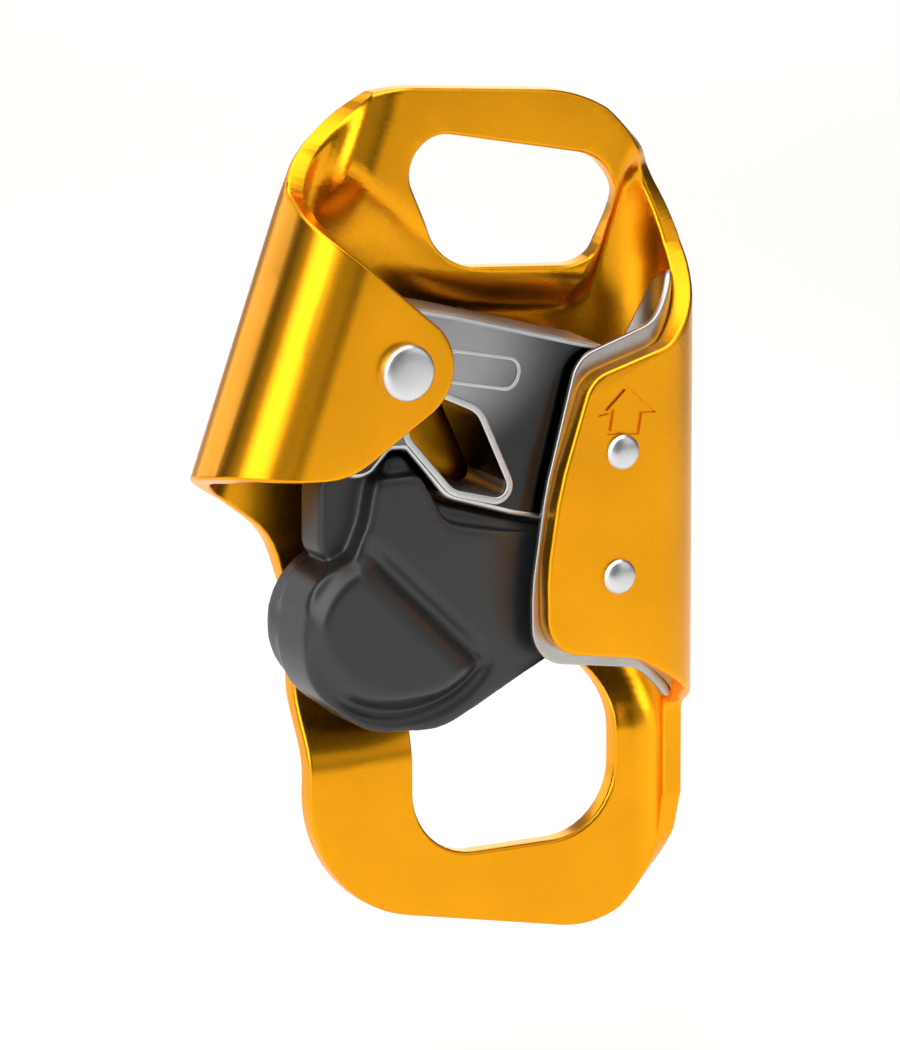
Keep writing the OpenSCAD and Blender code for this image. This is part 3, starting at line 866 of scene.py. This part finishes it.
def cast_steel(shown):
    """Investment cast steel, dark all over, with a painted highlight that turns it pale round its hub."""
    material = plated("cast_steel", shown, 0.16, 0.28, 1.4)
    tree = material.node_tree
    shader = tree.nodes["Principled BSDF"]
    dark = shader.inputs["Base Color"].links[0].from_socket
    at = add_node(tree, "ShaderNodeTexCoord").outputs["Object"]
    from_hub = add_node(tree, "ShaderNodeVectorMath", {1: (AXLE[0] + 6*MM, 0, AXLE[2] + 2*MM)}, {0: at},
                        operation="SUBTRACT")
    flat = add_node(tree, "ShaderNodeVectorMath", {1: (1, 0, 1.25)}, {0: from_hub.outputs["Vector"]},
                    operation="MULTIPLY")
    reach = add_node(tree, "ShaderNodeVectorMath", links={0: flat.outputs["Vector"]}, operation="LENGTH")
    # Painted highlight: the colour turns from the dark steel to pale steel towards a point beside the hub,
    # between 24 and 8 mm from it
    painted_sheen = add_node(tree, "ShaderNodeMapRange", {"From Min": 24*MM, "From Max": 8*MM},
                    {"Value": reach.outputs["Value"]}, interpolation_type="SMOOTHSTEP")
    mixed = add_node(tree, "ShaderNodeMixRGB", {"Color2": linear(srgb(PAINTED_SHEEN_STEEL))},
                     {"Fac": painted_sheen.outputs["Result"], "Color1": dark})
    tree.links.new(mixed.outputs["Color"], shader.inputs["Base Color"])
    return material


def painted_highlight_steel():
    """A paler, brighter copy of the same steel for the rims, top and lips: a painted highlight."""
    return plated("painted_highlight_steel", srgb("CFCFD0"), 0.3, 0.44, 0.6)


def spring_steel():
    """Drawn spring wire: grey, with fine marks."""
    return plated("spring_steel", srgb("A9AAAD"), 0.25, 0.4, 0.3)


def bronze():
    """Sintered bronze: matt and speckled with pores."""
    return plated("bronze", srgb("A8793C"), 0.35, 0.55, 0.2)


def nylon(shown):
    """Glass filled nylon, moulded in a spark eroded tool: near black, satin, with a fine leathery grain."""
    material, tree, shader, at = new_material("nylon")
    grain = add_node(tree, "ShaderNodeTexNoise", {"Scale": per_mm(0.3), "Detail": 3}, {"Vector": at})
    cloud = add_node(tree, "ShaderNodeTexNoise", {"Scale": per_mm(9), "Detail": 3}, {"Vector": at})
    ramp = add_node(tree, "ShaderNodeValToRGB", links={"Fac": cloud.outputs["Fac"]})
    ramp.color_ramp.elements[0].color = linear([c*0.9 for c in shown])
    ramp.color_ramp.elements[1].color = linear([c*1.12 for c in shown])
    rough = add_node(tree, "ShaderNodeMapRange", {"To Min": 0.3, "To Max": 0.42},
                     {"Value": grain.outputs["Fac"]})
    bump = add_node(tree, "ShaderNodeBump", {"Strength": 0.2, "Distance": 0.04*MM},
                    {"Height": grain.outputs["Fac"]})
    tree.links.new(ramp.outputs["Color"], shader.inputs["Base Color"])
    tree.links.new(rough.outputs["Result"], shader.inputs["Roughness"])
    tree.links.new(bump.outputs["Normal"], shader.inputs["Normal"])
    shader.inputs["IOR"].default_value = 1.53
    return material


KEPT_FINISHES = {"axle_sleeve": zinc_plated_steel, "front_washer": zinc_plated_steel, "cam_bush": bronze,
                 "catch_pin": zinc_plated_steel, "catch_pin_washer": zinc_plated_steel}


class ROPECLAMP_OT_inner_pieces(bpy.types.Operator):
    """Gives the sleeve, washers, bush and pin their finishes"""
    bl_idname = "ropeclamp.inner_pieces"
    bl_label = "Inner pieces"

    def execute(self, context):
        for node, finish in KEPT_FINISHES.items():
            piece = frame["nodes"][node]
            material = finish()
            for slot in piece.material_slots:
                slot.material = material
        return {"FINISHED"}


# --- the studio -----------------------------------------------------------------------------
class StudioSizes(bpy.types.PropertyGroup):
    """Camera of the studio."""
    azimuth: FloatProperty(name="Azimuth", description="Camera's direction from the front, to the right",
                           default=math.radians(-29), unit="ROTATION")
    elevation: FloatProperty(name="Elevation", description="Camera's height above the object",
                             default=math.radians(14), unit="ROTATION")
    distance: FloatProperty(name="Distance", description="Camera's distance from the object's middle",
                            default=1.65, unit="LENGTH")
    lens: FloatProperty(name="Lens", description="Focal length", default=400, unit="CAMERA")


def around(centre, azimuth, elevation, distance):
    """Point at a direction in degrees and a distance from a centre; azimuth 0 is the front."""
    a, e = math.radians(azimuth), math.radians(elevation)
    return (centre[0] + distance*math.sin(a)*math.cos(e), centre[1] - distance*math.cos(a)*math.cos(e),
            centre[2] + distance*math.sin(e))


def aim(obj, at, target):
    """Puts a lamp, a camera or a card at a place, with its face to a target."""
    obj.location = at
    obj.rotation_euler = (Vector(target) - Vector(at)).to_track_quat("-Z", "Y").to_euler()


# Soft lights: azimuth, elevation, distance, width and height in metres, and brightness, where 1 is white
LIGHTS = ((-62, 28, 1.0, 0.85, 1.0, 3.1), (44, 25, 1.1, 0.7, 0.8, 0.7), (0, 85, 1.0, 1.2, 1.2, 2.4),
          (-150, 20, 1.1, 0.5, 1.0, 1.5), (150, 20, 1.1, 0.5, 1.0, 1.5))
# Dark cards that draw the streaks on the gold: azimuth, elevation, distance, width and height in metres
CARDS = ((7, -4, 0.5, 0.16, 0.8), (-128, 5, 0.5, 0.24, 0.7), (100, 15, 0.55, 0.3, 0.8))


FLOOR_SIZE, FLOOR_DROP = 60, 0.03    # metres across, and below the object
ROOM_LIGHT = 0.28
NEAR_CLIP = 0.01


class ROPECLAMP_OT_studio(bpy.types.Operator):
    """Sets the floor, the lights and the camera"""
    bl_idname = "ropeclamp.studio"
    bl_label = "Studio"

    def execute(self, context):
        sizes = context.scene.clamp_studio
        low, high = CAD_BOX
        centre = [(a + b)/2 for a, b in zip(low, high)]
        bpy.ops.object.select_all(action="DESELECT")
        bpy.ops.mesh.primitive_plane_add(size=FLOOR_SIZE,
                                         location=(centre[0], centre[1], low[2] - FLOOR_DROP))
        floor = context.object
        floor.name = "studio_floor"
        floor.data.materials.append(matt_card("pale_floor", "F4F3F0"))
        dark = matt_card("dark_card", "0B0908")
        for azimuth, elevation, distance, width, height in CARDS:
            bpy.ops.mesh.primitive_plane_add(size=1)
            card = context.object
            card.name = "studio_card"
            card.visible_camera = False
            card.scale = (width, height, 1)
            aim(card, around(centre, azimuth, elevation, distance), centre)
            card.data.materials.append(dark)
        for azimuth, elevation, distance, width, height, brightness in LIGHTS:
            bpy.ops.object.light_add(type="AREA")
            lamp = context.object
            lamp.data.shape = "RECTANGLE"
            lamp.data.size = width
            lamp.data.size_y = height
            lamp.data.energy = brightness*math.pi*width*height
            aim(lamp, around(centre, azimuth, elevation, distance), centre)
        world = bpy.data.worlds.new("pale_room")
        world.use_nodes = True
        background = world.node_tree.nodes["Background"]
        background.inputs["Color"].default_value = linear(srgb("F2F2F2"))
        background.inputs["Strength"].default_value = ROOM_LIGHT
        context.scene.world = world
        # This view keeps the anodised gold's full colour, which a filmic one washes out
        context.scene.view_settings.view_transform = "Standard"
        bpy.ops.object.camera_add()
        camera = context.object
        camera.data.lens = sizes.lens
        camera.data.clip_start = NEAR_CLIP
        azimuth, elevation = math.degrees(sizes.azimuth), math.degrees(sizes.elevation)
        aim(camera, around(centre, azimuth, elevation, sizes.distance), centre)
        context.scene.camera = camera
        return {"FINISHED"}


def matt_card(name, code):
    """Matt painted card, even and without gloss."""
    material, _, shader, _ = new_material(name)
    shader.inputs["Base Color"].default_value = linear(srgb(code))
    shader.inputs["Roughness"].default_value = 0.9
    return material


class ROPECLAMP_PT_panel(bpy.types.Panel):
    """Lists the pieces of the rope clamp"""
    bl_idname = "ROPECLAMP_PT_panel"
    bl_label = "Rope clamp"
    bl_space_type = "VIEW_3D"
    bl_region_type = "UI"
    bl_category = "Rope clamp"

    def draw(self, context):
        for operator in OPERATORS:
            self.layout.operator(operator.bl_idname)


GROUPS = {"clamp_frame": FrameSizes, "clamp_liner": LinerSizes, "clamp_cam": CamSizes,
          "clamp_catch": CatchSizes, "clamp_studio": StudioSizes}
OPERATORS = (ROPECLAMP_OT_frame, ROPECLAMP_OT_liner, ROPECLAMP_OT_axle, ROPECLAMP_OT_springs,
             ROPECLAMP_OT_cam, ROPECLAMP_OT_catch, ROPECLAMP_OT_inner_pieces, ROPECLAMP_OT_studio)


def register():
    for group in GROUPS.values():
        bpy.utils.register_class(group)
    for name, group in GROUPS.items():
        setattr(bpy.types.Scene, name, PointerProperty(type=group))
    for operator in OPERATORS:
        bpy.utils.register_class(operator)
    bpy.utils.register_class(ROPECLAMP_PT_panel)


def unregister():
    bpy.utils.unregister_class(ROPECLAMP_PT_panel)
    for operator in reversed(OPERATORS):
        bpy.utils.unregister_class(operator)
    for name, group in GROUPS.items():
        delattr(bpy.types.Scene, name)
        bpy.utils.unregister_class(group)


def main():
    """Builds every piece and the studio."""
    register()
    bpy.ops.ropeclamp.frame()
    bpy.ops.ropeclamp.liner()
    bpy.ops.ropeclamp.axle()
    bpy.ops.ropeclamp.springs()
    bpy.ops.ropeclamp.cam()
    bpy.ops.ropeclamp.catch()
    bpy.ops.ropeclamp.inner_pieces()
    bpy.ops.ropeclamp.studio()


if __name__ == "__main__":
    main()
